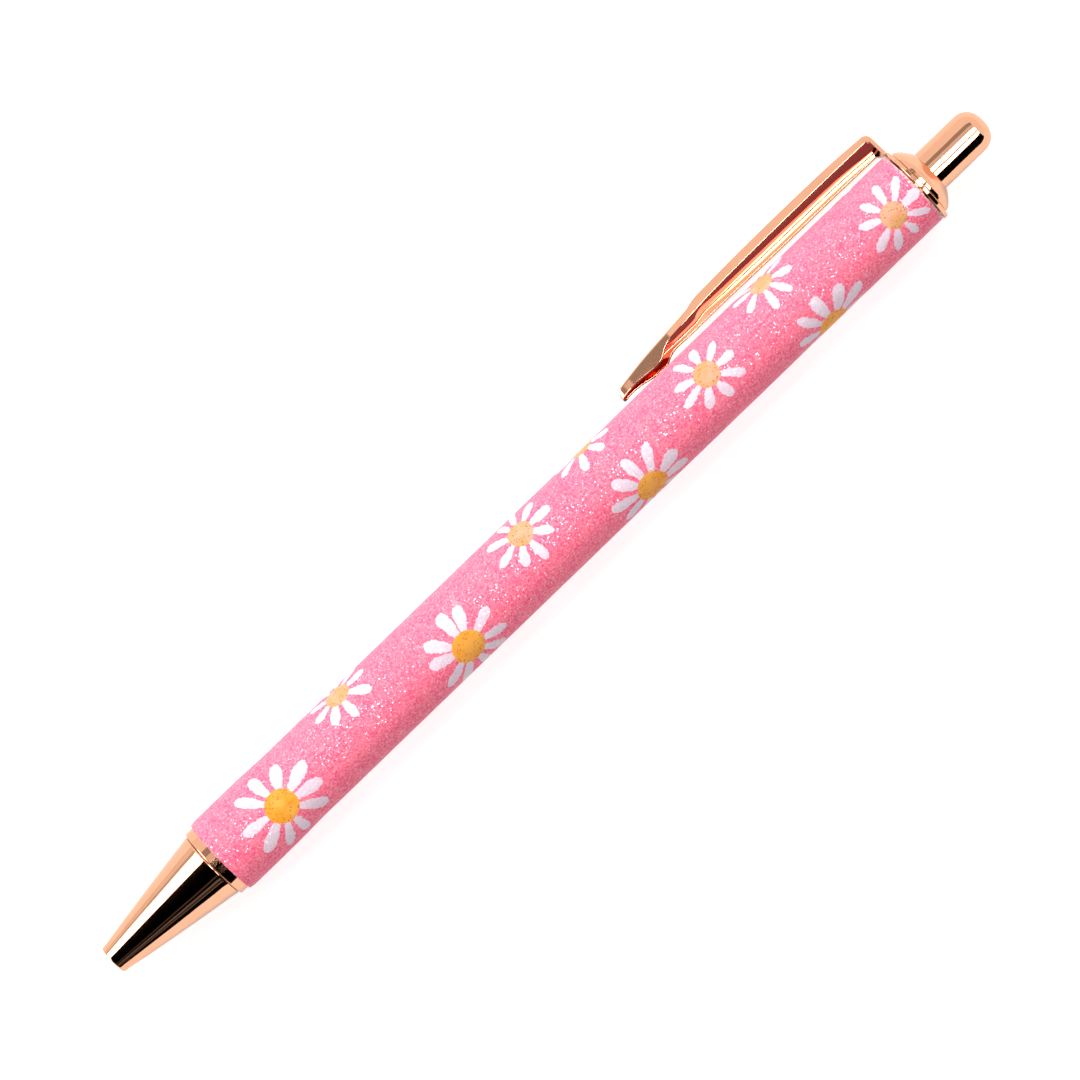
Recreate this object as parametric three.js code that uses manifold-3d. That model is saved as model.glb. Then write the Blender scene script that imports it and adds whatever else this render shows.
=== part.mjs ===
// A click-action gel pen lying on its side. Millimetres, +Z up. The pen's axis is along +X, from the
// nose to the push button. A station is a distance along that axis, measured from the nose's tip.
import * as THREE from 'three';
import { mergeVertices } from 'three/addons/utils/BufferGeometryUtils.js';
import Module from 'manifold-3d';

const wasm = await Module();
wasm.setup();

// Driving dimensions.
const LENGTH = 141;                 // nose to button, with the point drawn in
const RING_RADIUS = 5.15;           // clip ring, and the swelling at the front of the wrap
const WRAP_RADIUS = 5;
const TUBE_RADIUS = 4.75;
const TUBE_BORE = 4.2;
const NOSE_RADIUS = 4.43;
const BUTTON_RADIUS = 2.7;
const REFILL_RADIUS = 3;
const REFILL_BORE = 2.4;
const BALL_RADIUS = 0.35;
const CLIP_RISE = 8.69;             // from the axis to the highest point of the clip's web
const CLIP_WIDTH = 5;
const CLIP_SHEET = 0.45;

// Stations where the main pieces begin and end.
const NOSE_BASE = 16.2;
const TUBE_START = 16.3;
const WRAP_START = 17.45;
const TUBE_END = 129.7;
const WRAP_END = 129.75;
const RING_START = 129.85;
const RING_END = 130.35;
const LINER_END = 6.6;
const SHOULDER = 20.5;              // where the spring pushes on the refill
const REFILL_START = 22.2;
const REFILL_END = 112;
const INK_START = 26.3;
const INK_END = 88;
const CLIP_TIP = 88.2;
const CLIP_BACK = 130.3;

// Clickwork: ribs in the housing guide the fins of the two cams.
const FIN_COUNT = 4;
const FIN_THICKNESS = 0.54;
const FIN_REACH = 3.3;
const SHANK_RADIUS = 2.2;
const HOUSING_BORE = 3.45;
const RIB_REACH = 2.35;             // how near to the axis the ribs come
const RIB_START = 113.4;
const TOOTH_COUNT = 8;
const TOOTH_HEIGHT = 0.8;

const FIT = 0.1;                    // gap between pieces that fit together
const CLEARANCE = 0.3;              // gap between the clip and its ring
const FACETS = 40;                  // round a turned piece, with one facet facing down
const SMALL_FACETS = 20;            // round the refill's point
const QUARTER = Math.PI / 2;

function finish(color, roughness, metalness) {
  return new THREE.MeshStandardMaterial({ color, roughness, metalness });
}

// Each call gives a piece a finish of its own.
const roseGold = () => finish(0xe8a583, 0.16, 1);
const brass = () => finish(0xc9a45c, 0.35, 1);
const steel = () => finish(0xb9bcc0, 0.3, 1);
const carbide = () => finish(0x8d9096, 0.15, 1);
const printedFabric = () => finish(0xf07d9b, 0.6, 0);
const whitePlastic = () => finish(0xf1efe9, 0.45, 0);
const darkPlastic = () => finish(0x2c2d31, 0.45, 0);
const clearPlastic = () => finish(0xdfe6e8, 0.35, 0);
const gelInk = () => finish(0x15151a, 0.35, 0);
const paleGrease = () => finish(0xe6dfb8, 0.25, 0);

// Groups: the turned pieces stand along +Y in the pen group, which lays that axis along +X. The clip
// group's x is the station, its y the height above the axis and its z the distance across the clip.
const part = new THREE.Group();
const pen = new THREE.Group();
pen.rotation.z = -QUARTER;
const clip = new THREE.Group();
clip.rotation.x = -restingRoll();
part.add(pen, clip);

function addPiece(group, name, geometry, material) {
  const mesh = new THREE.Mesh(geometry, material);
  mesh.name = name;
  group.add(mesh);
}

// The roll at which the clip's lower corner comes down to just above the surface the pen lies on.
function restingRoll() {
  const axisHeight = RING_RADIUS * Math.cos(Math.PI / FACETS) - 0.02;
  const cornerReach = Math.hypot(CLIP_RISE, CLIP_WIDTH / 2);
  return Math.asin(axisHeight / cornerReach) - Math.atan2(CLIP_WIDTH / 2, CLIP_RISE);
}

// A turned solid from [station, radius] corners. An outline clear of the axis closes on itself.
function turned(outline, facets = FACETS) {
  const points = outline.map(([station, radius]) => new THREE.Vector2(radius, station));
  if (THREE.ShapeUtils.isClockWise(points)) points.reverse();
  if (points.every((point) => point.x > 0)) points.push(points[0].clone());
  return new THREE.LatheGeometry(points, facets, Math.PI / facets);
}

function sleeve(start, end, bore, radius, facets = FACETS) {
  return turned([[start, bore], [start, radius], [end, radius], [end, bore]], facets);
}

// Corners along a smooth curve through the given ones.
function smooth(corners, pieces) {
  const curve = new THREE.SplineCurve(corners.map(([x, y]) => new THREE.Vector2(x, y)));
  return curve.getPoints(pieces).map((point) => [point.x, point.y]);
}

// Corners along an arc.
function arc([x, y], radius, startAngle, endAngle, pieces) {
  const curve = new THREE.EllipseCurve(x, y, radius, radius, startAngle, endAngle, startAngle > endAngle);
  return curve.getPoints(pieces).map((point) => [point.x, point.y]);
}

// A flat plate of the given outline, from z = start to z = start + thickness.
function plate(outline, start, thickness) {
  const shape = new THREE.Shape(outline.map(([x, y]) => new THREE.Vector2(x, y)));
  const geometry = new THREE.ExtrudeGeometry(shape, { depth: thickness, bevelEnabled: false });
  return geometry.translate(0, 0, start);
}

function toSolid(geometry) {
  geometry.deleteAttribute('normal');
  geometry.deleteAttribute('uv');
  const merged = mergeVertices(geometry, 1e-5);
  const vertProperties = Float32Array.from(merged.attributes.position.array);
  const triVerts = Uint32Array.from(merged.index.array);
  return new wasm.Manifold(new wasm.Mesh({ numProp: 3, vertProperties, triVerts }));
}

function toGeometry(solid) {
  const mesh = solid.getMesh();
  const geometry = new THREE.BufferGeometry();
  geometry.setAttribute('position', new THREE.BufferAttribute(mesh.vertProperties, 3));
  geometry.setIndex(new THREE.BufferAttribute(mesh.triVerts, 1));
  return geometry;
}

function joined(geometries) {
  return toGeometry(geometries.map(toSolid).reduce((whole, solid) => whole.add(solid)));
}

// Plates set evenly round the axis, each with the given [radius, station] outline.
function radialPlates(outline, firstAngle) {
  return Array.from({ length: FIN_COUNT }, (_, i) => {
    const blade = plate(outline, -FIN_THICKNESS / 2, FIN_THICKNESS);
    return blade.rotateY(firstAngle + (i * 2 * Math.PI) / FIN_COUNT);
  });
}

// Wedges round a cam's crown. They point along the axis in the given direction, +1 or -1.
function crownTeeth(station, direction, firstAngle) {
  const outer = SHANK_RADIUS - FIT;
  const inner = outer / 2;
  const halfWidth = 0.4 * outer * Math.tan((2 * Math.PI) / TOOTH_COUNT);
  const root = station - direction * TOOTH_HEIGHT;
  const tip = station + direction * TOOTH_HEIGHT;
  const outline = [[-halfWidth, root], [halfWidth, root], [halfWidth, station], [-halfWidth, tip]];
  return Array.from({ length: TOOTH_COUNT }, (_, i) => {
    const tooth = plate(outline, inner, outer - inner);
    return tooth.rotateY(firstAngle + (i * 2 * Math.PI) / TOOTH_COUNT);
  });
}

// The nose: a cone with a threaded spigot, bored for the refill's point and the return spring.
function noseCone() {
  const threadPitch = 0.75;
  const crestRadius = 3.65;
  const rootRadius = 3.45;
  const threadEnd = 22;
  const thread = [];
  for (let station = NOSE_BASE + 1.1; station < threadEnd; station += threadPitch) {
    thread.push([station, rootRadius], [station + threadPitch / 2, crestRadius]);
  }
  return turned([
    [0, 1.3],
    [0, 1.6],
    [0.1, 1.8],
    [0.35, 1.9],
    ...smooth([[1.2, 2.05], [3.5, 2.45], [8.2, 3.22], [12.9, 3.95], [15.2, 4.28], [16, NOSE_RADIUS]], 9),
    [NOSE_BASE, NOSE_RADIUS - 0.06],
    [NOSE_BASE, rootRadius],
    ...thread,
    [22.3, rootRadius],
    [22.5, 3.35],
    [22.5, 3.15],
    [11.3, 3.15],
    [9.5, 2.75],
    [8.8, 2.45],
    [5.8, 2.45],
    [5.8, 1.7],
    [2, 1.7],
    [2, 1.3],
  ]);
}

// A bush that guides the refill's point, with a flange that the return spring sits on.
function noseLiner() {
  return turned([[2.1, 1.3], [2.1, 1.62], [5.9, 1.62], [5.9, 2.35], [LINER_END, 2.35], [LINER_END, 1.3]]);
}

class Helix extends THREE.Curve {
  constructor(radius, length, turns) {
    super();
    Object.assign(this, { radius, length, turns });
  }

  getPoint(t, target = new THREE.Vector3()) {
    const angle = t * this.turns * 2 * Math.PI;
    return target.set(this.radius * Math.cos(angle), t * this.length, this.radius * Math.sin(angle));
  }
}

function returnSpring() {
  const wireRadius = 0.175;
  const coilRadius = 2.1;
  const turns = 11;
  const start = LINER_END + FIT + wireRadius;
  const end = SHOULDER - FIT - wireRadius;
  const extrudePath = new Helix(coilRadius, end - start, turns);
  const wire = new THREE.Shape().absarc(0, 0, wireRadius, 0, 2 * Math.PI);
  const options = { steps: 12 * turns, curveSegments: 5, extrudePath, bevelEnabled: false };
  return new THREE.ExtrudeGeometry(wire, options).translate(0, start, 0);
}

// The wrap: a sleeve glued round the tube, a little fuller near the nose.
function wrapSleeve() {
  const bore = TUBE_RADIUS + FIT / 2;
  return turned([
    [WRAP_START, bore],
    [WRAP_START, 4.95],
    [17.75, 5.08],
    [18.6, RING_RADIUS],
    [23.5, RING_RADIUS],
    [26, 5.09],
    [29, WRAP_RADIUS],
    [WRAP_END - 0.6, WRAP_RADIUS],
    [WRAP_END - 0.15, 4.95],
    [WRAP_END, 4.88],
    [WRAP_END, bore],
  ]);
}

// The refill's metal point: a cone with a socket for the ball, and a spigot behind it.
function refillPoint() {
  const socketFloor = 1.8;
  const spigotEnd = 15;
  return turned([
    [1.15, 0.4],
    [1.15, 0.47],
    [3.3, 1.15],
    [11.4, 1.15],
    [11.4, 0.85],
    [spigotEnd, 0.85],
    [spigotEnd, 0.3],
    [socketFloor, 0.3],
    [socketFloor, 0.4],
  ], SMALL_FACETS);
}

// The plastic nose that joins the point to the refill's tube.
function refillNose() {
  return turned([
    [11.7, 0.95],
    [11.7, 1.75],
    [SHOULDER, 1.75],
    [SHOULDER, 2.6],
    [22, 2.6],
    [22, 2.3],
    [26, 2.3],
    [26, 0.95],
  ]);
}

// What fills the refill's tube between two stations.
function filling(start, end) {
  const radius = REFILL_BORE - FIT;
  return turned([[start, 0], [start, radius], [end, radius], [end, 0]]);
}

// A plug in the refill's open end, with a groove that lets air in.
function refillPlug() {
  const start = 108.5;
  const end = REFILL_END - FIT;
  const body = toSolid(sleeve(start, end, 0.7, 2.3));
  const grooveOutline = [[1.9, start - 1], [2.6, start - 1], [2.6, end + 1], [1.9, end + 1]];
  const groove = toSolid(plate(grooveOutline, -0.25, 0.5));
  return toGeometry(body.subtract(groove));
}

// The rotor rests on the refill's end. Its fins run between the ribs, and step round in front of them.
function camRotor() {
  const start = REFILL_END + CLEARANCE;
  const end = 118.1;
  const flange = 2.8;
  const flangeEnd = 113.1;
  const body = turned([
    [start, 0],
    [start, flange],
    [flangeEnd, flange],
    [flangeEnd, SHANK_RADIUS],
    [end, SHANK_RADIUS],
    [end, 0],
  ]);
  const fin = [[2, 114.5], [FIN_REACH, 114.5], [FIN_REACH, 117.2], [2, 118]];
  return joined([body, ...radialPlates(fin, Math.PI / FIN_COUNT), ...crownTeeth(end, 1, 0)]);
}

// The plunger is pressed into the button. Its teeth push the rotor.
function camPlunger() {
  const start = 119.9;
  const end = 137;
  const body = turned([[start, 0], [start, SHANK_RADIUS], [end, SHANK_RADIUS], [end, 0]]);
  const fin = [[2, start + 0.4], [FIN_REACH, start + 0.4], [FIN_REACH, 122.2], [2, 122.2]];
  const teeth = crownTeeth(start, -1, Math.PI / TOOTH_COUNT);
  return joined([body, ...radialPlates(fin, Math.PI / FIN_COUNT), ...teeth]);
}

// The housing: a sleeve with guiding ribs, and a collar that keeps the plunger in.
function camHousing() {
  const start = 107;
  const collar = 122.6;
  const end = 124;
  const shell = turned([
    [start, HOUSING_BORE],
    [start, 4.1],
    [end, 4.1],
    [end, RIB_REACH],
    [collar, RIB_REACH],
    [collar, HOUSING_BORE],
  ]);
  const root = HOUSING_BORE + 0.2;
  const ribEnd = collar + 0.5;
  const rib = [[RIB_REACH, RIB_START + 0.8], [root, RIB_START], [root, ribEnd], [RIB_REACH, ribEnd]];
  return joined([shell, ...radialPlates(rib, 0)]);
}

// The domed collar that closes the barrel. Its skirt goes through the clip's ring.
function endCap() {
  const hole = BUTTON_RADIUS + 0.14;
  const shoulder = RING_END + FIT;
  return turned([
    [125, 2.9],
    [125, 3.3],
    [shoulder, 3.3],
    [shoulder, 4.5],
    [130.6, 4.57],
    ...smooth([[130.95, 4.53], [131.45, 4.15], [132, 3.45], [132.4, 2.95]], 6),
    [132.4, hole],
    [130.6, hole],
    [130.3, 2.9],
  ]);
}

// The button: a shell with a domed end, over the plunger's shank.
function pushButton() {
  const start = 129.4;
  const bore = SHANK_RADIUS + FIT;
  const edge = 2.2;
  const dome = arc([LENGTH - edge, BUTTON_RADIUS - edge], edge, QUARTER, 0, 7);
  const floor = 137.4;
  return turned([[floor, 0], [floor, bore], [start, bore], [start, BUTTON_RADIUS], ...dome, [LENGTH, 0]]);
}

// The line along the top of the clip's side view, set in from the outside by the given amount.
function clipTop(inset) {
  const web = [
    [91, 7.71],
    [95, 8],
    [99, 8.15],
    [101, 8.28],
    [102.3, 8.58],
    [104, 8.64],
    [113.5, CLIP_RISE],
    [121, 8.64],
    [127, 8.46],
  ];
  const tipRound = 0.8;
  const backRound = 0.6;
  return [
    ...arc([CLIP_TIP + tipRound, 6.7], tipRound - inset, Math.PI, QUARTER, 4),
    ...smooth(web.map(([station, height]) => [station, height - inset]), 16),
    ...arc([CLIP_BACK - backRound, 7.7], backRound - inset, QUARTER, 0, 5),
  ];
}

// The outline of the clip from above, set in from the outside by the given amount.
function clipPlan(inset) {
  const halfWidths = [
    [89, 0.85],
    [93, 1.1],
    [96, 1.45],
    [98, 1.75],
    [103, 2.05],
    [109, 2.35],
    [115, CLIP_WIDTH / 2],
    [CLIP_BACK + 1, CLIP_WIDTH / 2],
  ];
  const edge = halfWidths.map(([station, half]) => [station, half - inset]);
  const mirrored = edge.map(([station, half]) => [station, -half]).reverse();
  const tip = CLIP_TIP + inset;
  return [[tip, 0], [tip + 0.2, 0.35], ...edge, ...mirrored, [tip + 0.2, -0.35]];
}

// The clip: a channel that opens towards the barrel, with a deep foot and a leg down to the ring.
function clipArm() {
  const legEnd = RING_RADIUS + CLEARANCE;
  const footEdge = [
    [96.9, 7.08],
    [95.9, 6.75],
    [94.9, 6.15],
    [94, 5.98],
    [93, 6.06],
    [91, 6.36],
    [89.4, 6.4],
    [88.5, 6.25],
  ];
  const side = [
    ...clipTop(0),
    [CLIP_BACK, legEnd],
    [RING_START, legEnd],
    [RING_START, 6.9],
    [129.4, 7.3],
    [104, 7.42],
    ...smooth(footEdge, 14),
  ];
  const reach = 3;
  const innerBack = CLIP_BACK - CLIP_SHEET;
  const innerTip = CLIP_TIP + CLIP_SHEET;
  const hollowSide = [...clipTop(CLIP_SHEET), [innerBack, reach], [innerTip, reach]];
  const upright = (outline) => toSolid(plate(outline, 0, 3 * reach).rotateX(-QUARTER));
  const across = (outline) => toSolid(plate(outline, -CLIP_WIDTH, 2 * CLIP_WIDTH));
  const outside = across(side).intersect(upright(clipPlan(0)));
  const hollow = across(hollowSide).intersect(upright(clipPlan(CLIP_SHEET)));
  return toGeometry(outside.subtract(hollow));
}

// Barrel.
addPiece(pen, 'barrel_tube', sleeve(TUBE_START, TUBE_END, TUBE_BORE, TUBE_RADIUS), roseGold());
addPiece(pen, 'wrap_sleeve', wrapSleeve(), printedFabric());
addPiece(pen, 'front_bush', sleeve(16.6, 24, 3.75, TUBE_BORE - FIT / 2), brass());
addPiece(pen, 'rear_bush', sleeve(124.2, TUBE_END, HOUSING_BORE, TUBE_BORE - FIT / 2), brass());
addPiece(pen, 'clip_ring', sleeve(RING_START, RING_END, HOUSING_BORE, RING_RADIUS), roseGold());
addPiece(pen, 'end_cap', endCap(), roseGold());
addPiece(clip, 'clip_arm', clipArm(), roseGold());

// Nose.
addPiece(pen, 'nose_cone', noseCone(), roseGold());
addPiece(pen, 'nose_liner', noseLiner(), whitePlastic());
addPiece(pen, 'return_spring', returnSpring(), steel());

// Refill.
const ball = new THREE.SphereGeometry(BALL_RADIUS, 12, 8).translate(0, 1.35, 0);
addPiece(pen, 'point_ball', ball, carbide());
addPiece(pen, 'refill_point', refillPoint(), steel());
addPiece(pen, 'refill_nose', refillNose(), clearPlastic());
addPiece(pen, 'refill_tube', sleeve(REFILL_START, REFILL_END, REFILL_BORE, REFILL_RADIUS), clearPlastic());
addPiece(pen, 'ink_column', filling(INK_START, INK_END), gelInk());
addPiece(pen, 'ink_follower', filling(INK_END + CLEARANCE, 94), paleGrease());
addPiece(pen, 'refill_plug', refillPlug(), whitePlastic());

// Clickwork.
addPiece(pen, 'cam_housing', camHousing(), whitePlastic());
addPiece(pen, 'cam_rotor', camRotor(), darkPlastic());
addPiece(pen, 'cam_plunger', camPlunger(), whitePlastic());
addPiece(pen, 'push_button', pushButton(), roseGold());

// The origin is at the middle of the pen's underside.
part.updateMatrixWorld(true);
const bounds = new THREE.Box3().setFromObject(part, true);
const middle = bounds.getCenter(new THREE.Vector3());
part.position.set(-middle.x, -middle.y, -bounds.min.z);

export default part;
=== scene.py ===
"""Looks for the gel pen: smooth plated metal, a printed glitter wrap and the pieces inside."""
import math

import bpy
from mathutils import Matrix, Vector, noise


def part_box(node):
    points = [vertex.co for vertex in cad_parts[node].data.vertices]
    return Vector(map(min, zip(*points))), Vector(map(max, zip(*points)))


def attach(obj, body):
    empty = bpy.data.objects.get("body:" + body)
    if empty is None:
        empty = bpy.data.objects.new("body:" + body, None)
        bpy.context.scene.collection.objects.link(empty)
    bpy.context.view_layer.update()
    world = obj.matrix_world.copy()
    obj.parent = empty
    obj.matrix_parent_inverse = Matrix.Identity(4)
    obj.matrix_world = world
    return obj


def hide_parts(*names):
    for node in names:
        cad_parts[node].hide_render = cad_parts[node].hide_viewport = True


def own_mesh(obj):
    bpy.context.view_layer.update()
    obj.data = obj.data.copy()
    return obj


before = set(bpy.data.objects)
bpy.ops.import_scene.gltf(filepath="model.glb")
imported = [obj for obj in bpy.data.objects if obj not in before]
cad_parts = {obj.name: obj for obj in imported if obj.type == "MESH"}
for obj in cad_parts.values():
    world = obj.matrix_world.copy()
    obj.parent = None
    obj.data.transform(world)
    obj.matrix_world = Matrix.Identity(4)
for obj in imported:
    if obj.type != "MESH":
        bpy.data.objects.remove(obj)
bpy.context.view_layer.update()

MM = 0.001
ROUND = 160                     # sides of a turned piece
NEAR_AXIS = 0.02                # an outline that starts nearer than this ends on the axis
CLIP_ROLL = math.radians(18.393)
ROSE_GOLD = (0.95, 0.48, 0.29)

# The pen's axis, its tip and its main stations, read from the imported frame.
tube_low, tube_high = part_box("barrel_tube")
AXIS_Y = (tube_low[1] + tube_high[1]) / 2
AXIS_Z = (tube_low[2] + tube_high[2]) / 2
TIP_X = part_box("nose_cone")[0][0]


def stations(node):
    """The stations where a CAD node begins and ends, in millimetres from the nose's tip."""
    low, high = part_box(node)
    return (low[0] - TIP_X) / MM, (high[0] - TIP_X) / MM


def outer_radius(node):
    return (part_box(node)[1][2] - AXIS_Z) / MM


LENGTH = stations("push_button")[1]
NOSE_BASE = 16.2
TUBE_START, TUBE_END = stations("barrel_tube")
WRAP_START, WRAP_END = stations("wrap_sleeve")
RING_START, RING_END = stations("clip_ring")
CLIP_TIP, CLIP_BACK = stations("clip_arm")
RING_RADIUS = outer_radius("clip_ring")
TUBE_RADIUS = outer_radius("barrel_tube")
BUTTON_RADIUS = outer_radius("push_button")
WRAP_RADIUS = 4.985
WRAP_BORE = 4.8
CLIP_SHEET = 0.45


# Shapes ----------------------------------------------------------------------------------------

def point(station, height, across=0.0, roll=0.0):
    """A place in the row frame, from a station, a height above the axis and a distance across it."""
    y = height * math.cos(roll) + across * math.sin(roll)
    z = across * math.cos(roll) - height * math.sin(roll)
    return Vector((TIP_X + station * MM, AXIS_Y + y * MM, AXIS_Z + z * MM))


def along(table, x):
    """Reads a table of (x, value) pairs along a smooth curve."""
    last = len(table) - 1
    if x <= table[0][0]:
        return table[0][1]
    if x >= table[last][0]:
        return table[last][1]
    i = next(k for k in range(last) if x <= table[k + 1][0])

    def slope(k):
        before, after = table[max(k - 1, 0)], table[min(k + 1, last)]
        return (after[1] - before[1]) / (after[0] - before[0])

    (x0, v0), (x1, v1) = table[i], table[i + 1]
    step = x1 - x0
    t = (x - x0) / step
    rise = t * t * (3 - 2 * t)
    leaving = t * (1 - t) ** 2 * step * slope(i)
    arriving = t * t * (1 - t) * step * slope(i + 1)
    return v0 + (v1 - v0) * rise + leaving - arriving


def between(table, x):
    """Reads a table of (x, value) pairs along straight lines."""
    i = next(k for k in range(len(table) - 1) if x <= table[k + 1][0])
    (x0, v0), (x1, v1) = table[i], table[i + 1]
    return v0 + (v1 - v0) * (x - x0) / (x1 - x0)


def steps(start, end, size):
    """Evenly spaced numbers from start to end, about size apart."""
    count = max(1, round((end - start) / size))
    return [start + (end - start) * k / count for k in range(count + 1)]


def curved(table, size):
    """Corners with no fillet along a smooth curve through the table's pairs."""
    return [(x, along(table, x), 0) for x in steps(table[0][0], table[-1][0], size)]


def filleted(corners, pieces=5, guard=0.04):
    """A closed outline with each (x, y, fillet) corner rounded, and points close by that keep flats flat."""
    outline = []
    for i, (x, y, fillet) in enumerate(corners):
        here = Vector((x, y))
        if fillet <= 0:
            outline.append(here)
            continue
        before = Vector(corners[i - 1][:2]) - here
        after = Vector(corners[(i + 1) % len(corners)][:2]) - here
        room = 0.45 * min(before.length, after.length)
        cut = min(fillet / math.tan(before.angle(after) / 2), room)
        extra = min(guard, 0.1 * room)
        before.normalize()
        after.normalize()
        outline.append(here + before * (cut + extra))
        for k in range(pieces + 1):
            t = k / pieces
            start, end = here + before * cut, here + after * cut
            outline.append(start * (1 - t) ** 2 + here * 2 * t * (1 - t) + end * t * t)
        outline.append(here + after * (cut + extra))
    return [(p.x, p.y) for p in outline]


def mesh_object(name, vertices, faces, sharp_angle=35):
    mesh = bpy.data.meshes.new(name)
    mesh.from_pydata(vertices, [], faces)
    mesh.polygons.foreach_set("use_smooth", [True] * len(faces))
    mesh.set_sharp_from_angle(angle=math.radians(sharp_angle))
    made = bpy.data.objects.new(name, mesh)
    bpy.context.collection.objects.link(made)
    return made


def facing_out(made):
    """Turns the faces of a closed mesh outwards."""
    mesh = made.data
    mesh.calc_loop_triangles()
    volume = 0.0
    for triangle in mesh.loop_triangles:
        a, b, c = (mesh.vertices[i].co for i in triangle.vertices)
        volume += a.dot(b.cross(c))
    if volume < 0:
        mesh.flip_normals()
    return made


def skin(name, loops, closed, sharp_angle=35):
    """A solid through rings of points. It closes on itself, or is capped at both ends."""
    count = len(loops[0])
    vertices = [place for loop in loops for place in loop]
    starts = [i * count for i in range(len(loops))]
    pairs = list(zip(starts, starts[1:]))
    faces = []
    if closed:
        pairs.append((starts[-1], starts[0]))
    else:
        faces += [list(range(count))[::-1], list(range(starts[-1], starts[-1] + count))]
    for a, b in pairs:
        for k in range(count):
            n = (k + 1) % count
            faces.append([a + k, a + n, b + n, b + k])
    return facing_out(mesh_object(name, vertices, faces, sharp_angle))


def turned(name, outline, relief=None, sides=ROUND):
    """A solid turned about the pen's axis. relief(station, radius, angle) may change its surface."""
    loops = []
    for station, radius in outline:
        loop = []
        for k in range(sides):
            angle = 2 * math.pi * k / sides
            s, r = relief(station, radius, angle) if relief else (station, radius)
            loop.append(point(s, r * math.cos(angle), r * math.sin(angle)))
        loops.append(loop)
    closed = outline[0][1] >= NEAR_AXIS
    return skin(name, loops, closed)


def swept(name, path, radius, sides=10):
    """A round wire along a path."""
    loops = []
    up = Vector((1, 0, 0))
    for i, here in enumerate(path):
        ahead = path[min(i + 1, len(path) - 1)] - path[max(i - 1, 0)]
        side = ahead.cross(up).normalized()
        up = side.cross(ahead).normalized()
        turns = [2 * math.pi * k / sides for k in range(sides)]
        loops.append([here + (side * math.cos(a) + up * math.sin(a)) * radius * MM for a in turns])
    return skin(name, loops, False, 60)


# Shaders ---------------------------------------------------------------------------------------

def rgb(red, green, blue, scale=1.0):
    return (red * scale, green * scale, blue * scale, 1.0)


class Shader:
    """Short calls that add nodes to the tree of a material or of the world."""

    def __init__(self, owner):
        owner.use_nodes = True
        self.tree = owner.node_tree
        self.surface = self.tree.nodes.get("Principled BSDF")

    def feed(self, socket, value):
        if isinstance(value, bpy.types.NodeSocket):
            self.tree.links.new(value, socket)
        else:
            socket.default_value = value

    def node(self, kind, inputs, **settings):
        made = self.tree.nodes.new(kind)
        for key, value in settings.items():
            setattr(made, key, value)
        for key, value in inputs.items():
            self.feed(made.inputs[key], value)
        return made

    def set(self, **values):
        for key, value in values.items():
            self.feed(self.surface.inputs[key.replace("_", " ")], value)

    def calc(self, operation, *values):
        return self.node("ShaderNodeMath", dict(enumerate(values)), operation=operation).outputs[0]

    def vector(self, operation, *values):
        made = self.node("ShaderNodeVectorMath", dict(enumerate(values)), operation=operation)
        return made.outputs[0]

    def dot(self, a, b):
        made = self.node("ShaderNodeVectorMath", {0: a, 1: b}, operation="DOT_PRODUCT")
        return made.outputs["Value"]

    def scaled(self, vector, scale):
        made = self.node("ShaderNodeVectorMath", {0: vector, "Scale": scale}, operation="SCALE")
        return made.outputs[0]

    def parts(self, vector):
        return self.node("ShaderNodeSeparateXYZ", {0: vector}).outputs

    def ramp(self, value, low, high, at_low=0.0, at_high=1.0):
        inputs = {0: value, 1: low, 2: high, 3: at_low, 4: at_high}
        return self.node("ShaderNodeMapRange", inputs, interpolation_type="SMOOTHSTEP").outputs[0]

    def blend(self, factor, a, b):
        return self.node("ShaderNodeMix", {0: factor, 6: a, 7: b}, data_type="RGBA").outputs[2]

    def pick(self, factor, a, b):
        return self.node("ShaderNodeMix", {0: factor, 2: a, 3: b}, data_type="FLOAT").outputs[0]

    def millimetres(self):
        """The piece's own place in the row frame, in millimetres."""
        return self.scaled(self.node("ShaderNodeTexCoord", {}).outputs["Object"], 1 / MM)

    def noise(self, vector, scale, detail=2.0):
        inputs = {"Vector": vector, "Scale": scale, "Detail": detail}
        return self.node("ShaderNodeTexNoise", inputs).outputs

    def bump(self, height, depth_mm, strength=1.0):
        inputs = {"Height": height, "Distance": depth_mm * MM, "Strength": strength}
        return self.node("ShaderNodeBump", inputs).outputs[0]


def plated_metal(name, colour, roughness=0.05, wear=0.5):
    """Polished metal: faint waves in the polish, hairline scratches and slightly duller patches."""
    material = bpy.data.materials.new(name)
    made = Shader(material)
    place = made.millimetres()
    patches = made.noise(place, 0.35, 3.0)[0]
    hairlines = made.noise(made.vector("MULTIPLY", place, (0.5, 12.0, 12.0)), 1.0, 4.0)[0]
    waves = made.noise(place, 0.45, 1.0)[0]
    dull = made.ramp(patches, 0.3, 0.8, roughness, roughness + 0.06 * wear)
    scratched = made.ramp(hairlines, 0.55, 0.8, 0.0, 0.08 * wear)
    tint = made.blend(made.ramp(patches, 0.35, 0.7), rgb(*colour), rgb(*colour, 0.95))
    height = made.calc("MULTIPLY_ADD", hairlines, 0.02 * wear, waves)
    made.set(Base_Color=tint, Metallic=1.0, Roughness=made.calc("ADD", dull, scratched))
    made.set(Normal=made.bump(height, 0.012))
    return material


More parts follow.
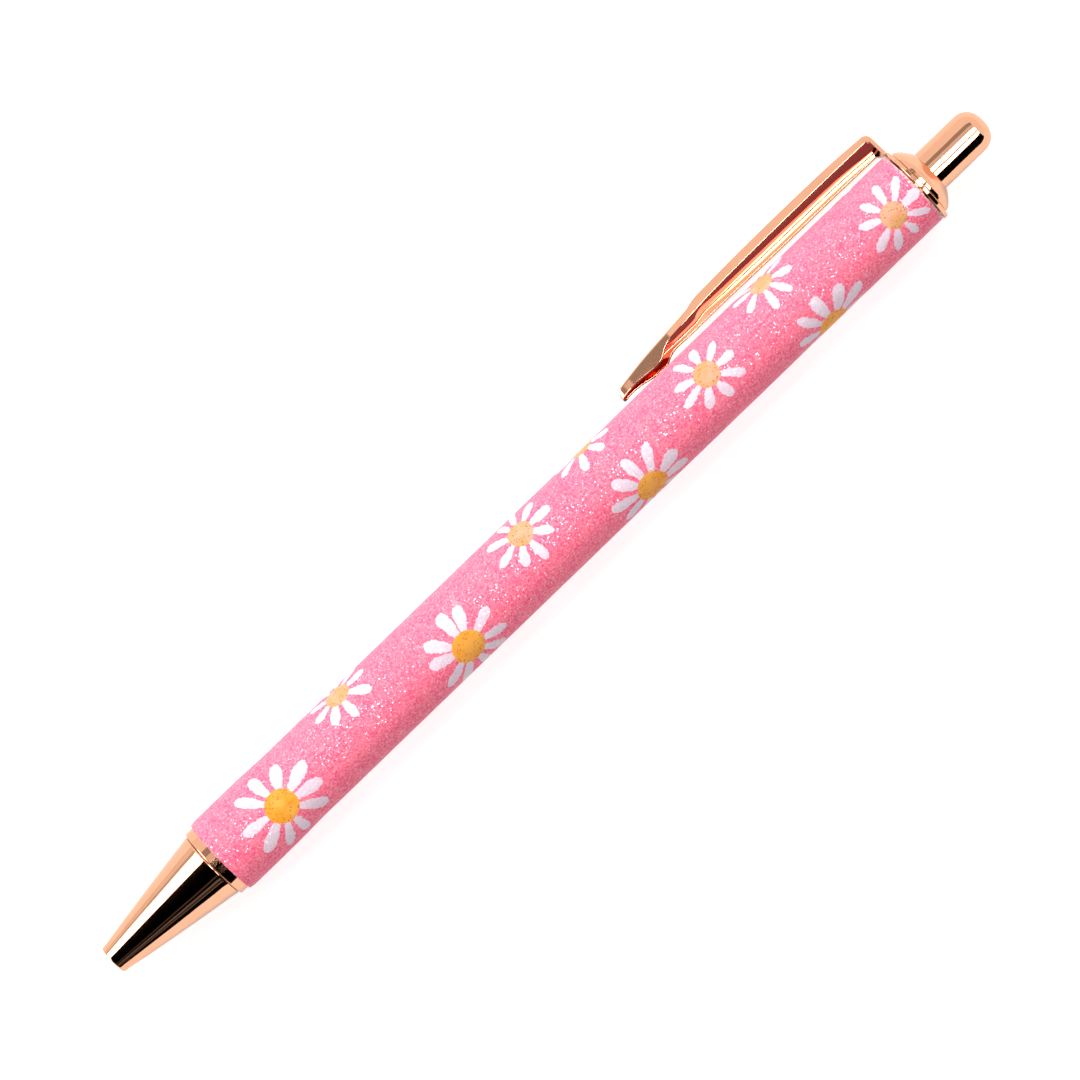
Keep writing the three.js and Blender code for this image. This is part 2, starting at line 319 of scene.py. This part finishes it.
def channel_metal_with_reflection():
    """The clip's plating, with a painted reflection on the inside under the web: deep red standing for the
    shaded pink wrap mirrored there, except along its edge near the floor.
    """
    material = plated_metal("rose_gold_channel_painted_reflection", ROSE_GOLD)
    made = Shader(material)
    plating = made.surface.inputs["Base Color"].links[0].from_socket
    outward = (0.0, math.cos(CLIP_ROLL), -math.sin(CLIP_ROLL))
    across = (0.0, math.sin(CLIP_ROLL), math.cos(CLIP_ROLL))
    axis = (0.0, AXIS_Y / MM, AXIS_Z / MM)
    place = made.vector("SUBTRACT", made.millimetres(), axis)
    facing = made.node("ShaderNodeTexCoord", {}).outputs["Normal"]
    inward = made.ramp(made.dot(facing, outward), -0.6, -0.9)
    upper = made.ramp(made.dot(place, across), -1.6, -1.25)
    reflection_share = made.calc("MULTIPLY", inward, upper)
    # Painted reflection: this deep red stands for the shaded pink wrap mirrored inside the channel, not for
    # the plating's own colour.
    painted_reflection_red = rgb(0.28, 0.006, 0.0)
    made.set(Base_Color=made.blend(reflection_share, plating, painted_reflection_red))
    return material


def moulded(name, colour, roughness=0.45, clear=0.0):
    """Moulded plastic or a thick fluid: faint mottling and a fine surface texture."""
    material = bpy.data.materials.new(name)
    made = Shader(material)
    place = made.millimetres()
    mottle = made.noise(place, 0.8, 3.0)[0]
    grain = made.noise(place, 9.0)[0]
    made.set(Base_Color=made.blend(mottle, rgb(*colour), rgb(*colour, 0.9)), Roughness=roughness)
    made.set(Transmission_Weight=clear, Normal=made.bump(grain, 0.003))
    return material


DAISY_PITCH = 28.35             # lengthwise, from one daisy of a row to the next
DAISY_DRIFT = 1.88              # sideways, from one daisy of a row to the next
# Each row: the station of daisy number 0, its distance round the barrel, the daisies' radius, a seed,
# and the number of the row's first daisy.
DAISY_ROWS = [
    (27.0, 1.5, 5.2, 1.0, 0),
    (40.4, -4.15, 4.1, 2.0, 0),
    (23.95, -10.15, 4.0, 3.0, 2),
    (38.4, -17.2, 5.2, 4.0, 0),
    (24.6, -20.9, 4.1, 5.0, 1),
]
LARGE_DAISY = 4.5               # daisies of a larger radius than this have ten petals, and others nine
DISC_SHARE = 0.39               # the yellow disc's radius, as a share of the daisy's
PETAL_ROOT = 0.26               # where petals begin, as a share of the daisy's radius
PETAL_TIPS = (0.98, 1.14)       # where they end, from the shortest to the longest
PETAL_WIDTHS = (0.175, 0.225)   # half their width, in the same shares
PETAL_LEAN = 0.09               # radians to either side
RAGGED_EDGE = 0.09              # millimetres to either side


def nearest_daisy(made, station, around):
    """The offsets from the nearest daisy's centre, with its radius and its number."""
    half_turn = math.pi * WRAP_RADIUS
    best = None
    for start, place, radius, seed, first in DAISY_ROWS:
        count = made.calc("DIVIDE", made.calc("SUBTRACT", station, start), DAISY_PITCH)
        whole = made.calc("MAXIMUM", made.calc("ROUND", count), first)
        lengthwise = made.calc("MULTIPLY", made.calc("SUBTRACT", count, whole), DAISY_PITCH)
        centre = made.calc("MULTIPLY_ADD", whole, DAISY_DRIFT, place)
        sideways = made.calc("WRAP", made.calc("SUBTRACT", around, centre), half_turn, -half_turn)
        reach = made.calc("SQRT", sum_of_squares(made, lengthwise, sideways))
        share = made.calc("DIVIDE", reach, radius)
        number = made.calc("MULTIPLY_ADD", whole, 7.0, seed)
        row = [share, lengthwise, sideways, radius, number]
        if best is None:
            best = row
            continue
        closer = made.calc("LESS_THAN", share, best[0])
        best = [made.pick(closer, old, new) for old, new in zip(best, row)]
    return best[1:]


def sum_of_squares(made, a, b):
    return made.calc("MULTIPLY_ADD", a, a, made.calc("MULTIPLY", b, b))


def daisy_masks(made, place, station, around):
    """Masks of petals and discs, the share of the way out from a daisy's centre, and 1 on large ones."""
    lengthwise, sideways, radius, number = nearest_daisy(made, station, around)
    ragged = made.parts(made.noise(place, 2.4, 2.0)[1])
    x = made.calc("ADD", lengthwise, made.ramp(ragged[0], 0.25, 0.75, -RAGGED_EDGE, RAGGED_EDGE))
    y = made.calc("ADD", sideways, made.ramp(ragged[1], 0.25, 0.75, -RAGGED_EDGE, RAGGED_EDGE))
    reach = made.calc("SQRT", sum_of_squares(made, x, y))
    share = made.calc("DIVIDE", reach, radius)
    large = made.calc("GREATER_THAN", radius, LARGE_DAISY)
    disc = made.ramp(share, DISC_SHARE + 0.02, DISC_SHARE)
    return petal_mask(made, x, y, share, number, large), disc, share, large


def petal_mask(made, x, y, share, number, large):
    """1 on a daisy's petals. Each petal draws its own lean, length and width."""
    petals = made.pick(large, 9.0, 10.0)
    pitch = made.calc("DIVIDE", 2 * math.pi, petals)
    angle = made.calc("MULTIPLY_ADD", number, 1.7, made.calc("ARCTAN2", y, x))
    index = made.calc("ROUND", made.calc("DIVIDE", angle, pitch))
    petal = made.calc("FLOORED_MODULO", index, petals)
    draw = made.node("ShaderNodeCombineXYZ", {0: petal, 1: number}).outputs[0]
    chance = made.parts(made.node("ShaderNodeTexWhiteNoise", {0: draw}).outputs["Color"])
    lean = made.ramp(chance[0], 0.0, 1.0, -PETAL_LEAN, PETAL_LEAN)
    aside = made.calc("SUBTRACT", angle, made.calc("MULTIPLY_ADD", index, pitch, lean))
    forward = made.calc("MULTIPLY", share, made.calc("COSINE", aside))
    offset = made.calc("ABSOLUTE", made.calc("MULTIPLY", share, made.calc("SINE", aside)))
    length = made.ramp(chance[1], 0.0, 1.0, PETAL_TIPS[0] - PETAL_ROOT, PETAL_TIPS[1] - PETAL_ROOT)
    part = made.calc("DIVIDE", made.calc("SUBTRACT", forward, PETAL_ROOT), length)
    part = made.calc("MAXIMUM", part, 0.0)
    fullness = made.calc("MAXIMUM", made.calc("SUBTRACT", 1.0, made.calc("POWER", part, 4.0)), 0.0)
    outline = made.calc("MULTIPLY", made.calc("POWER", part, 0.6), made.calc("SQRT", fullness))
    fullest = made.ramp(chance[2], 0.0, 1.0, *PETAL_WIDTHS)
    inside = made.calc("SUBTRACT", made.calc("MULTIPLY", outline, fullest), offset)
    return made.ramp(inside, -0.008, 0.012)


def barrel_coordinates(made, place):
    """The station, and the distance round the barrel from its top towards -Y, in millimetres."""
    x, y, z = made.parts(place)
    station = made.calc("SUBTRACT", x, TIP_X / MM)
    side = made.calc("SUBTRACT", AXIS_Y / MM, y)
    up = made.calc("SUBTRACT", z, AXIS_Z / MM)
    return station, made.calc("MULTIPLY", made.calc("ARCTAN2", side, up), WRAP_RADIUS)


def printed_wrap():
    """Pink glitter fabric printed with daisies, whitish where its end frays."""
    material = bpy.data.materials.new("printed_glitter_wrap")
    made = Shader(material)
    place = made.millimetres()
    station, around = barrel_coordinates(made, place)
    petals, disc, share, large = daisy_masks(made, place, station, around)
    grain = made.noise(place, 3.6, 3.0)[0]
    cloud = made.noise(place, 0.5)[0]
    speck = made.noise(place, 3.2, 2.0)[0]
    pink = pink_cloth(made, place, grain, cloud, speck)
    white = made.blend(made.ramp(grain, 0.3, 0.7), rgb(0.66, 0.49, 0.58), rgb(0.73, 0.6, 0.67))
    white = made.blend(made.ramp(speck, 0.62, 0.7, 0.0, 0.4), white, rgb(0.7, 0.22, 0.34))
    yellow = daisy_disc(made, place, cloud, share, large)
    colour = made.blend(disc, made.blend(petals, pink, white), yellow)
    ragged_end = made.calc("ADD", station, made.ramp(grain, 0.2, 0.8, -0.3, 0.3))
    frayed = made.ramp(ragged_end, WRAP_END - 0.45, WRAP_END - 0.15, 0.0, 0.75)
    colour = made.blend(frayed, colour, rgb(0.6, 0.5, 0.52))
    flake, tilt = glitter(made, place, around, disc)
    cloth = made.bump(made.noise(place, 3.5, 4.0)[0], 0.07)
    normal = made.vector("NORMALIZE", made.vector("ADD", cloth, tilt))
    made.set(Base_Color=made.blend(flake, colour, rgb(0.95, 0.7, 0.78)), Normal=normal)
    made.set(Metallic=made.calc("MULTIPLY", flake, 0.75), Roughness=made.pick(flake, 0.6, 0.28))
    made.set(Specular_IOR_Level=0.3, Sheen_Weight=0.1)
    return material


def pink_cloth(made, place, grain, cloud, speck):
    """The pink ground: a fine grain, broad clouds, pale dust and dark specks."""
    dust = made.noise(place, 4.3, 2.0)[0]
    pink = made.blend(made.ramp(grain, 0.35, 0.68), rgb(0.77, 0.075, 0.165), rgb(0.9, 0.2, 0.29))
    pink = made.blend(made.ramp(cloud, 0.4, 0.7, 0.0, 0.3), pink, rgb(0.92, 0.22, 0.28))
    pink = made.blend(made.ramp(dust, 0.52, 0.68, 0.0, 0.4), pink, rgb(0.95, 0.42, 0.49))
    return made.blend(made.ramp(speck, 0.54, 0.68, 0.0, 0.55), pink, rgb(0.62, 0.04, 0.14))


def daisy_disc(made, place, cloud, share, large):
    """The disc: orange on large daisies and peach on small ones, with brown dots except at its middle."""
    orange = made.blend(made.ramp(cloud, 0.4, 0.6), rgb(0.8, 0.28, 0.012), rgb(0.8, 0.34, 0.045))
    peach = made.blend(made.ramp(cloud, 0.4, 0.6), rgb(0.62, 0.28, 0.11), rgb(0.62, 0.32, 0.19))
    dots = made.node("ShaderNodeTexVoronoi", {"Vector": place, "Scale": 3.0}).outputs["Distance"]
    rim = made.ramp(share, 0.06, 0.22)
    dotted = made.calc("MULTIPLY", made.ramp(dots, 0.33, 0.24), rim)
    return made.blend(dotted, made.blend(large, peach, orange), rgb(0.42, 0.12, 0.02))


def glitter(made, place, around, disc):
    """How strongly a flake shows, and how far it tilts. Flakes thin out away from the barrel's top as
    painted light: glints crowd the lit top and fade into the shade.
    """
    flakes = made.node("ShaderNodeTexVoronoi", {"Vector": place, "Scale": 5.2}).outputs
    # Painted light: fewer flakes away from the barrel's top, so the glints gather where the light falls.
    painted_glint_falloff = made.ramp(made.calc("ABSOLUTE", around), 1.5, 4.0, 0.0, 0.09)
    crowd = made.ramp(made.noise(place, 0.8, 1.0)[0], 0.4, 0.6, 0.89, 0.81)
    limit = made.calc("ADD", crowd, painted_glint_falloff)
    chosen = made.ramp(made.parts(flakes["Color"])[0], limit, made.calc("ADD", limit, 0.09))
    near = made.ramp(flakes["Distance"], 0.48, 0.3)
    flake = made.calc("MULTIPLY", made.calc("MULTIPLY", chosen, near), made.calc("SUBTRACT", 1.0, disc))
    tilt = made.vector("SUBTRACT", flakes["Color"], (0.5, 0.5, 0.5))
    return flake, made.scaled(tilt, made.calc("MULTIPLY", flake, 0.75))


def paper_floor():
    """White paper on a light table, brighter to the camera than to the pen."""
    material = bpy.data.materials.new("paper_floor")
    made = Shader(material)
    seen = made.node("ShaderNodeLightPath", {}).outputs["Is Camera Ray"]
    tooth = made.noise(made.millimetres(), 0.8, 4.0)[0]
    made.set(Base_Color=made.blend(tooth, rgb(1, 1, 1, 0.41), rgb(1, 1, 1, 0.43)), Roughness=0.9)
    made.set(Specular_IOR_Level=0.1, Emission_Color=rgb(1, 1, 1))
    made.set(Emission_Strength=made.pick(seen, 0.38, 0.82))
    return material


rose_gold = plated_metal("rose_gold_plating", ROSE_GOLD)
clip_plating_and_reflection = channel_metal_with_reflection()
bare_brass = plated_metal("turned_brass", (0.72, 0.5, 0.2), 0.28, 1.0)
spring_steel = plated_metal("spring_steel", (0.6, 0.61, 0.63), 0.2, 1.0)
point_metal = plated_metal("point_metal", (0.68, 0.67, 0.64), 0.14, 0.7)
white_plastic = moulded("moulded_white", (0.82, 0.8, 0.76))
dark_plastic = moulded("moulded_dark", (0.03, 0.032, 0.038))
refill_plastic = moulded("refill_plastic", (0.72, 0.77, 0.79), 0.35, 0.35)
gel_ink = moulded("gel_ink", (0.008, 0.008, 0.012), 0.25)
grease = moulded("follower_grease", (0.75, 0.68, 0.42), 0.2, 0.5)


# Camera, light and floor -----------------------------------------------------------------------

VIEW_TILT = math.radians(8.3)   # the camera leans this far from overhead, away from the clip
VIEW_ROLL = math.radians(44)    # the pen against the picture's lower edge
VIEW_DISTANCE = 0.7
FIELD_WIDTH = 0.1259            # what the picture's width takes in at the pen
AIM_RIGHT = -0.92               # millimetres from the pen's middle to the picture's
AIM_UP = 0.06


def place_camera():
    data = bpy.data.cameras.new("camera")
    data.sensor_width = 36
    data.lens = data.sensor_width * VIEW_DISTANCE / FIELD_WIDTH
    data.clip_end = 20
    camera = bpy.data.objects.new("camera", data)
    bpy.context.collection.objects.link(camera)
    pen = Vector((1, 0, 0))
    clip_side = Vector((0, math.cos(VIEW_TILT), math.sin(VIEW_TILT)))
    back = Vector((0, -math.sin(VIEW_TILT), math.cos(VIEW_TILT)))
    right = pen * math.cos(VIEW_ROLL) - clip_side * math.sin(VIEW_ROLL)
    up = pen * math.sin(VIEW_ROLL) + clip_side * math.cos(VIEW_ROLL)
    aim = point(LENGTH / 2, 0) + (up * AIM_UP + right * AIM_RIGHT) * MM
    turn = Matrix((right, up, back)).transposed().to_4x4()
    camera.matrix_world = Matrix.Translation(aim + back * VIEW_DISTANCE) @ turn
    bpy.context.scene.camera = camera


SOFTBOX = 16.0                  # the tent's brightest band
# What polished metal mirrors: a studio tent in sections along the pen. Each begins at an x of the direction,
# and holds bands round the pen: degrees from the camera towards the clip, and the brightness from there on.
TENT = [
    (-1.0, [
        (-180, 1.0),
        (-86, 0.0),
        (-66, 0.12),
        (-61, 0.02),
        (-55, 0.14),
        (-49, 0.0),
        (-40, 0.06),
        (-35, 0.0),
        (27, 6.0),
        (66, 0.6),
        (76, 0.9),
    ]),
    (-0.25, [(-180, 1.0), (-86, 0.0), (6, 0.8), (27, 0.35), (47, 1.0)]),
    (-0.05, [
        (-180, 1.0),
        (-86, 0.0),
        (-38, 6.0),
        (-20, 0.45),
        (-12, SOFTBOX),
        (6, 0.8),
        (27, 0.35),
        (47, 1.0),
    ]),
    (0.65, [(-180, 1.0)]),
]
# The soft light on everything else, in bands as above: a large softbox on the clip's side.
SOFT_LIGHT = [(-180, 0.9), (-98, 1.15), (-60, 0.3), (-20, 0.25), (12, 1.2), (20, 5.4), (56, 0.9)]


def light_tent():
    world = bpy.data.worlds.new("tent")
    bpy.context.scene.world = world
    made = Shader(world)
    background = made.tree.nodes["Background"]
    x, y, z = made.parts(made.node("ShaderNodeTexCoord", {}).outputs["Generated"])
    angle = made.calc("ADD", made.calc("ARCTAN2", y, z), VIEW_TILT)
    turn = made.calc("MULTIPLY_ADD", angle, 1 / (2 * math.pi), 0.5)
    mirrored = band_light(made, turn, TENT[0][1])
    for start, bands in TENT[1:]:
        mirrored = made.pick(made.calc("GREATER_THAN", x, start), mirrored, band_light(made, turn, bands))
    path = made.node("ShaderNodeLightPath", {}).outputs
    light = made.pick(path["Is Glossy Ray"], band_light(made, turn, SOFT_LIGHT), mirrored)
    made.feed(background.inputs["Strength"], made.pick(path["Is Camera Ray"], light, 1.0))
    background.inputs["Color"].default_value = rgb(1, 1, 1)


def band_light(made, turn, bands):
    """The brightness at a turn round the pen, from 0 to 1, in bands."""
    ramp = made.node("ShaderNodeValToRGB", {0: turn})
    ramp.color_ramp.interpolation = "CONSTANT"
    stops = ramp.color_ramp.elements
    stops.remove(stops[1])
    for i, (degrees, brightness) in enumerate(bands):
        stop = stops[0] if i == 0 else stops.new(degrees / 360 + 0.5)
        stop.color = rgb(1, 1, 1, brightness / SOFTBOX)
    return made.calc("MULTIPLY", ramp.outputs[0], SOFTBOX)


def lay_floor():
    half = 3.0
    corners = [(-half, -half, 0), (half, -half, 0), (half, half, 0), (-half, half, 0)]
    floor = mesh_object("floor", corners, [[0, 1, 2, 3]])
    floor.data.materials.append(paper_floor())


# Pieces ----------------------------------------------------------------------------------------

def add_piece(made, material, body, slot, *nodes):
    """Paints a piece, sets its body and hides the CAD nodes that it stands for. Its slot is not used."""
    made.data.materials.append(material)
    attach(made, body)
    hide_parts(*nodes)
    return made


def repaint(material, *nodes):
    """Gives CAD nodes that keep their shape a better material."""
    for name in nodes:
        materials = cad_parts[name].data.materials
        materials.clear()
        materials.append(material)


THREAD_START = 17.1
THREAD_END = 22.2
THREAD_PITCH = 0.75
THREAD_ROOT = 3.43
THREAD_HEIGHT = 0.21
THREAD_FADE = 0.5


def thread(station, radius, angle):
    """Raises a screw thread on the nose's spigot, fading in and out at its ends."""
    if radius != THREAD_ROOT or not THREAD_START < station < THREAD_END:
        return station, radius
    phase = (station / THREAD_PITCH - angle / (2 * math.pi)) % 1
    ridge = max(0.0, 1 - 3 * abs(phase - 0.5))
    fade = min(1.0, (station - THREAD_START) / THREAD_FADE, (THREAD_END - station) / THREAD_FADE)
    return station, radius + THREAD_HEIGHT * ridge * fade


def nose_cone():
    flank = [(0.9, 1.98), (3.5, 2.44), (8.2, 3.21), (12.9, 3.94), (15.2, 4.27), (15.9, 4.4)]
    spigot = [(s, THREAD_ROOT, 0) for s in steps(THREAD_START - 0.2, THREAD_END + 0.05, 0.05)]
    return turned("nose_cone_shell", filleted([
        (2, 1.3, 0.02),
        (0, 1.3, 0.12),
        (0, 1.87, 0.36),
        *curved(flank, 0.4),
        (NOSE_BASE, 4.42, 0.08),
        (NOSE_BASE, THREAD_ROOT, 0.03),
        *spigot,
        (22.5, 3.3, 0.04),
        (22.5, 3.15, 0.04),
        (11.3, 3.15, 0),
        (9.5, 2.75, 0),
        (8.8, 2.46, 0),
        (5.8, 2.46, 0.05),
        (5.8, 1.72, 0.05),
        (2, 1.72, 0.05),
    ]), thread)


def barrel_tube():
    return turned("barrel_tube_shell", filleted([
        (TUBE_START, 4.2, 0.05),
        (TUBE_START, TUBE_RADIUS, 0.12),
        (TUBE_END, TUBE_RADIUS, 0.05),
        (TUBE_END, 4.2, 0.05),
    ]))


SEAM_ANGLE = math.radians(250)


def cloth_relief(station, radius, angle):
    """The wrap's uneven surface, its glued seam and its frayed end."""
    if radius <= WRAP_BORE:
        return station, radius
    place = Vector((station * 0.8, math.cos(angle) * 4, math.sin(angle) * 4))
    from_seam = abs((angle - SEAM_ANGLE + math.pi) % (2 * math.pi) - math.pi) * radius
    seam = 0.1 * max(0.0, 1 - from_seam / 0.18)
    swollen = 0.012 * noise.noise(place)
    frayed = 0.0
    if station > WRAP_END - 0.5:
        frayed = 0.1 * noise.noise(place * 6) - 0.1
    return station + frayed, radius - seam + swollen


def wrap_sleeve():
    swelling = RING_RADIUS - 0.02
    outline = [(18.5, swelling), (23.5, swelling), (26, 5.08), (29, WRAP_RADIUS), (32, WRAP_RADIUS)]
    straight = [(s, WRAP_RADIUS, 0) for s in steps(33, WRAP_END - 1, 1.0)]
    lining = [(s, WRAP_BORE, 0) for s in steps(WRAP_END - 1, WRAP_START + 1, -2.0)]
    return turned("wrap_fabric", filleted([
        (WRAP_START, WRAP_BORE, 0.03),
        (WRAP_START, 5.0, 0.14),
        (17.95, 5.1, 0.4),
        *curved(outline, 0.5),
        *straight,
        (WRAP_END, WRAP_RADIUS, 0.12),
        (WRAP_END, WRAP_BORE, 0.03),
        *lining,
    ]), cloth_relief, 256)


def clip_ring():
    bore = 3.45
    return turned("clip_ring_shell", filleted([
        (RING_START, bore, 0.04),
        (RING_START, RING_RADIUS, 0.1),
        (RING_END, RING_RADIUS, 0.1),
        (RING_END, bore, 0.04),
    ]))


def end_cap():
    dome = [(130.75, 4.56), (131.0, 4.46), (131.45, 4.1), (132.0, 3.44), (132.25, 3.1)]
    return turned("end_cap_shell", filleted([
        (125, 2.92, 0.05),
        (125, 3.28, 0.05),
        (130.45, 3.28, 0.03),
        (130.45, 4.56, 0.08),
        *curved(dome, 0.06),
        (132.4, 2.86, 0.08),
        (130.6, 2.86, 0.05),
        (130.3, 2.92, 0.02),
    ]))


def push_button():
    edge = 2.2
    centre = BUTTON_RADIUS - edge
    start = 129.4
    floor = 137.4
    pieces = 24
    dome = []
    for k in range(1, pieces + 1):
        angle = math.radians(90 - 90 * k / pieces)
        dome.append((LENGTH - edge + edge * math.cos(angle), centre + edge * math.sin(angle), 0))
    return turned("push_button_shell", filleted([
        (floor, 0.01, 0),
        (floor, 2.3, 0.1),
        (start, 2.3, 0.05),
        (start, BUTTON_RADIUS, 0.1),
        (LENGTH - edge, BUTTON_RADIUS, 0),
        *dome,
        (LENGTH, 0.01, 0),
    ]))


FOOT_WIDEST = 89                # the rounded tip ends here, in the view from above
FOOT_HALF_WIDTH = 0.84
ROUND_DROP = 0.9                # how far the web's outside drops at the tip and at the back
CHANNEL_CORNER = 0.2
LEG_CORNER = 0.28
HEM = 0.1                       # how round the flanges' lower edges are
LEG_GAP = 0.06                  # from the ring to the corners of the leg's lower edge
CLIP_WEB = [
    (89.2, 7.5),
    (91, 7.71),
    (93, 7.9),
    (95, 8.01),
    (99, 8.15),
    (101, 8.28),
    (101.6, 8.45),
    (102.4, 8.6),
    (104, 8.64),
    (113.5, 8.68),
    (121, 8.64),
    (125, 8.56),
    (129.4, 8.3),
]
CLIP_HALF_WIDTHS = [
    (FOOT_WIDEST, FOOT_HALF_WIDTH),
    (93.5, 1.3),
    (98, 1.75),
    (103, 2.12),
    (109, 2.38),
    (115, 2.49),
    (131, 2.49),
]
CLIP_EDGES = [
    (88.4, 6.2),
    (89.4, 6.4),
    (91, 6.36),
    (93, 6.06),
    (94, 5.98),
    (94.9, 6.15),
    (95.9, 6.75),
    (96.9, 7.08),
    (99, 7.16),
    (103, 7.34),
    (107, 7.42),
    (129.4, 7.36),
    (129.8, 7.0),
]
FOOT_PINCH = [(90, 0.3), (99, 0.0)]      # how far the foot's edges lean in


def clip_top(station):
    """The height of the web's outside, with the tip and the back rounded."""
    (tip_start, tip_height), (back_start, back_height) = CLIP_WEB[0], CLIP_WEB[-1]
    if station < tip_start:
        reach = (tip_start - station) / (tip_start - CLIP_TIP)
        return tip_height - ROUND_DROP + ROUND_DROP * math.sqrt(max(0.0, 1 - reach ** 2))
    if station > back_start:
        reach = (station - back_start) / (CLIP_BACK - back_start)
        return back_height - ROUND_DROP + ROUND_DROP * math.sqrt(max(0.0, 1 - reach ** 2))
    return along(CLIP_WEB, station)


def clip_half_width(station):
    if station < FOOT_WIDEST:
        reach = (FOOT_WIDEST - station) / (FOOT_WIDEST - CLIP_TIP)
        return FOOT_HALF_WIDTH * math.sqrt(max(0.0, 1 - reach ** 2))
    return along(CLIP_HALF_WIDTHS, station)


def clip_section(station, hollow):
    """Across the clip: up one flange, over the web, down the other, and back along the inside."""
    top = clip_top(station)
    edge = along(CLIP_EDGES, station)
    half = max(clip_half_width(station), 0.05)
    inner_half = max(half - CLIP_SHEET, 0.03)
    ceiling = top - CLIP_SHEET if hollow else edge + 0.02
    lean = min(along(FOOT_PINCH, station), 0.6 * inner_half)
    corner = min(CHANNEL_CORNER, 0.6 * half)
    inner_corner = 0.15
    outline = filleted([
        (lean - half, edge, HEM),
        (-half, top, corner),
        (half, top, corner),
        (half - lean, edge, HEM),
        (inner_half - 0.6 * lean, edge, HEM),
        (inner_half, ceiling, inner_corner),
        (-inner_half, ceiling, inner_corner),
        (0.6 * lean - inner_half, edge, HEM),
    ])
    return [point(station, height, across, CLIP_ROLL) for across, height in outline]


def leg_section(station):
    """Across the leg: a plate whose lower edge follows the ring."""
    top = clip_top(station)
    half = clip_half_width(station)
    reach = RING_RADIUS + LEG_GAP
    shoulder = math.sqrt(reach ** 2 - half ** 2) + 0.4
    crisp = 0.02
    foot = [(x * half, math.sqrt(reach ** 2 - (x * half) ** 2), crisp) for x in (1, 0.5, -0.5, -1)]
    outline = filleted([
        (-half, shoulder, crisp),
        (-half, top, LEG_CORNER),
        (half, top, LEG_CORNER),
        (half, shoulder, crisp),
        *foot,
    ])
    return [point(station, height, across, CLIP_ROLL) for across, height in outline]


def clip_arm():
    hollow_start = CLIP_TIP + CLIP_SHEET
    leg_start = CLIP_BACK - CLIP_SHEET
    tip = [(s, False) for s in steps(CLIP_TIP + 0.005, hollow_start, 0.05)]
    foot = [(s, True) for s in steps(hollow_start + 0.02, 98, 0.15)]
    arm = [(s, True) for s in steps(98.5, 128.5, 0.5)]
    back = [(s, True) for s in steps(128.6, leg_start - 0.01, 0.08)]
    loops = [clip_section(s, hollow) for s, hollow in tip + foot + arm + back]
    loops += [leg_section(s) for s in steps(leg_start, CLIP_BACK - 0.002, 0.05)]
    return skin("clip_arm_shell", loops, False)


def refill_point():
    return turned("refill_point_shell", filleted([
        (1.15, 0.37, 0.01),
        (1.15, 0.46, 0.03),
        (3.3, 1.13, 0.5),
        (11.4, 1.13, 0.05),
        (11.4, 0.85, 0.02),
        (15, 0.85, 0.02),
        (15, 0.3, 0.02),
        (1.8, 0.3, 0.02),
        (1.8, 0.37, 0.02),
    ]), sides=96)


def point_ball():
    radius, middle = 0.345, 1.35
    pieces = 32
    outline = []
    for k in range(pieces + 1):
        angle = math.pi * k / pieces
        outline.append((middle - radius * math.cos(angle), max(radius * math.sin(angle), 0.002)))
    return turned("point_ball_shell", outline, sides=48)


def return_spring():
    start, end = 6.9, 20.2
    coil_radius, wire_radius, turns = 2.1, 0.17, 11
    pieces = 40                         # along one turn
    dead = 2 * wire_radius + 0.02       # the end coils lie against their neighbours
    rise = [(0, start), (1, start + dead), (turns - 1, end - dead), (turns, end)]
    path = []
    for k in range(turns * pieces + 1):
        turn = k / pieces
        angle = 2 * math.pi * turn
        station = between(rise, turn)
        path.append(point(station, coil_radius * math.cos(angle), coil_radius * math.sin(angle)))
    return swept("return_spring_coil", path, wire_radius)


def add_pieces():
    add_piece(barrel_tube(), rose_gold, "barrel", "rose_gold", "barrel_tube")
    add_piece(clip_ring(), rose_gold, "barrel", "rose_gold", "clip_ring")
    add_piece(end_cap(), rose_gold, "barrel", "rose_gold", "end_cap")
    add_piece(clip_arm(), clip_plating_and_reflection, "clip", "rose_gold", "clip_arm")
    add_piece(nose_cone(), rose_gold, "nose", "rose_gold", "nose_cone")
    add_piece(push_button(), rose_gold, "plunger", "rose_gold", "push_button")
    add_piece(refill_point(), point_metal, "refill", "point_metal", "refill_point")
    add_piece(point_ball(), point_metal, "ball", "point_metal", "point_ball")
    wrap = add_piece(wrap_sleeve(), printed_wrap(), "barrel", "printed_wrap", "wrap_sleeve")
    spring = add_piece(return_spring(), spring_steel, "nose_carrier", "spring_steel", "return_spring")
    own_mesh(spring)
    repaint(bare_brass, "front_bush", "rear_bush")
    repaint(white_plastic, "nose_liner", "cam_housing", "cam_plunger", "refill_plug")
    repaint(dark_plastic, "cam_rotor")
    repaint(refill_plastic, "refill_nose", "refill_tube")
    repaint(gel_ink, "ink_column")
    repaint(grease, "ink_follower")


bpy.context.scene.view_settings.view_transform = "Standard"
place_camera()
light_tent()
lay_floor()
add_pieces()
